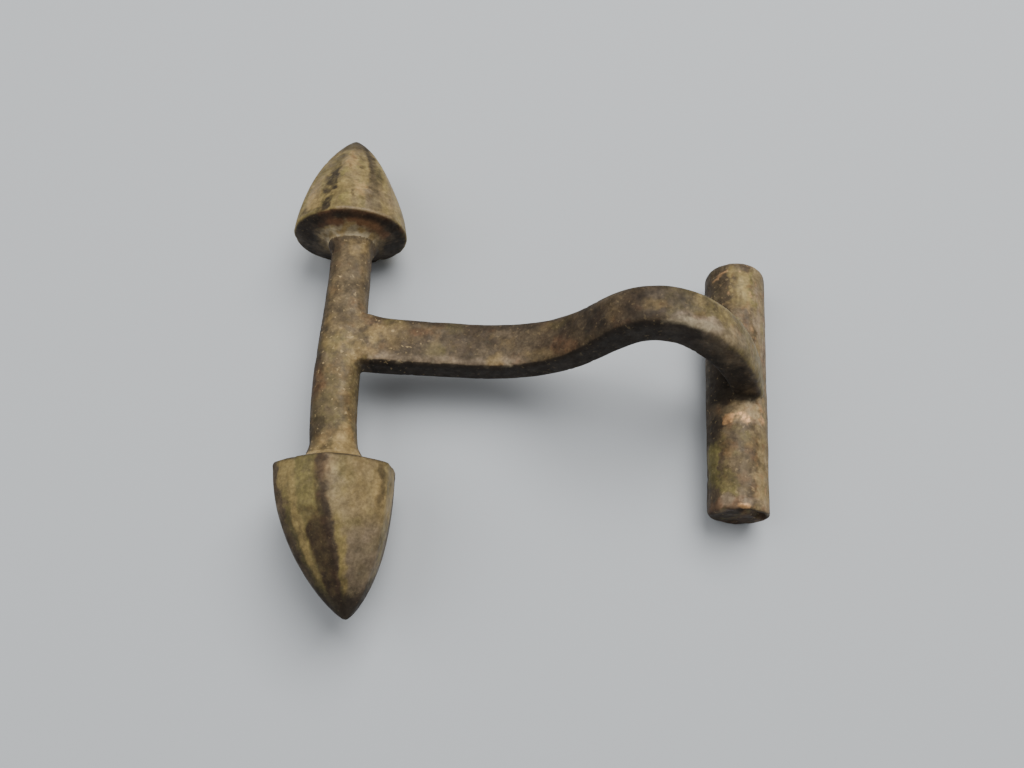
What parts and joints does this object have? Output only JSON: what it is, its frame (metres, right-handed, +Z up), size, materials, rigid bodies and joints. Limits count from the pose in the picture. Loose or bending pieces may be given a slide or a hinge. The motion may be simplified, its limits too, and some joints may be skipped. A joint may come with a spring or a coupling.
{
  "type": "fibula brooch",
  "caption": "Worn cast bronze brooch: crossbar with faceted pointed knobs, straight leg rising into an arched bow that lands on a round rod; its pin is lost.",
  "frame": {"origin": "middle of the underside of the brooch's box, on the surface it lies on", "axes": "+X from the crossbar with the knobs to the rod, along the leg; +Y along crossbar and rod, away from the knob that points at the viewer; +Z up"},
  "size_m": [0.0542, 0.0564, 0.0168],
  "materials": {
    "bronze": "worn dark olive-brown patina with tan patches and a satin sheen"
  },
  "bodies": {
    "root": {"fibula_brooch": "bronze"}
  },
  "joints": []
}
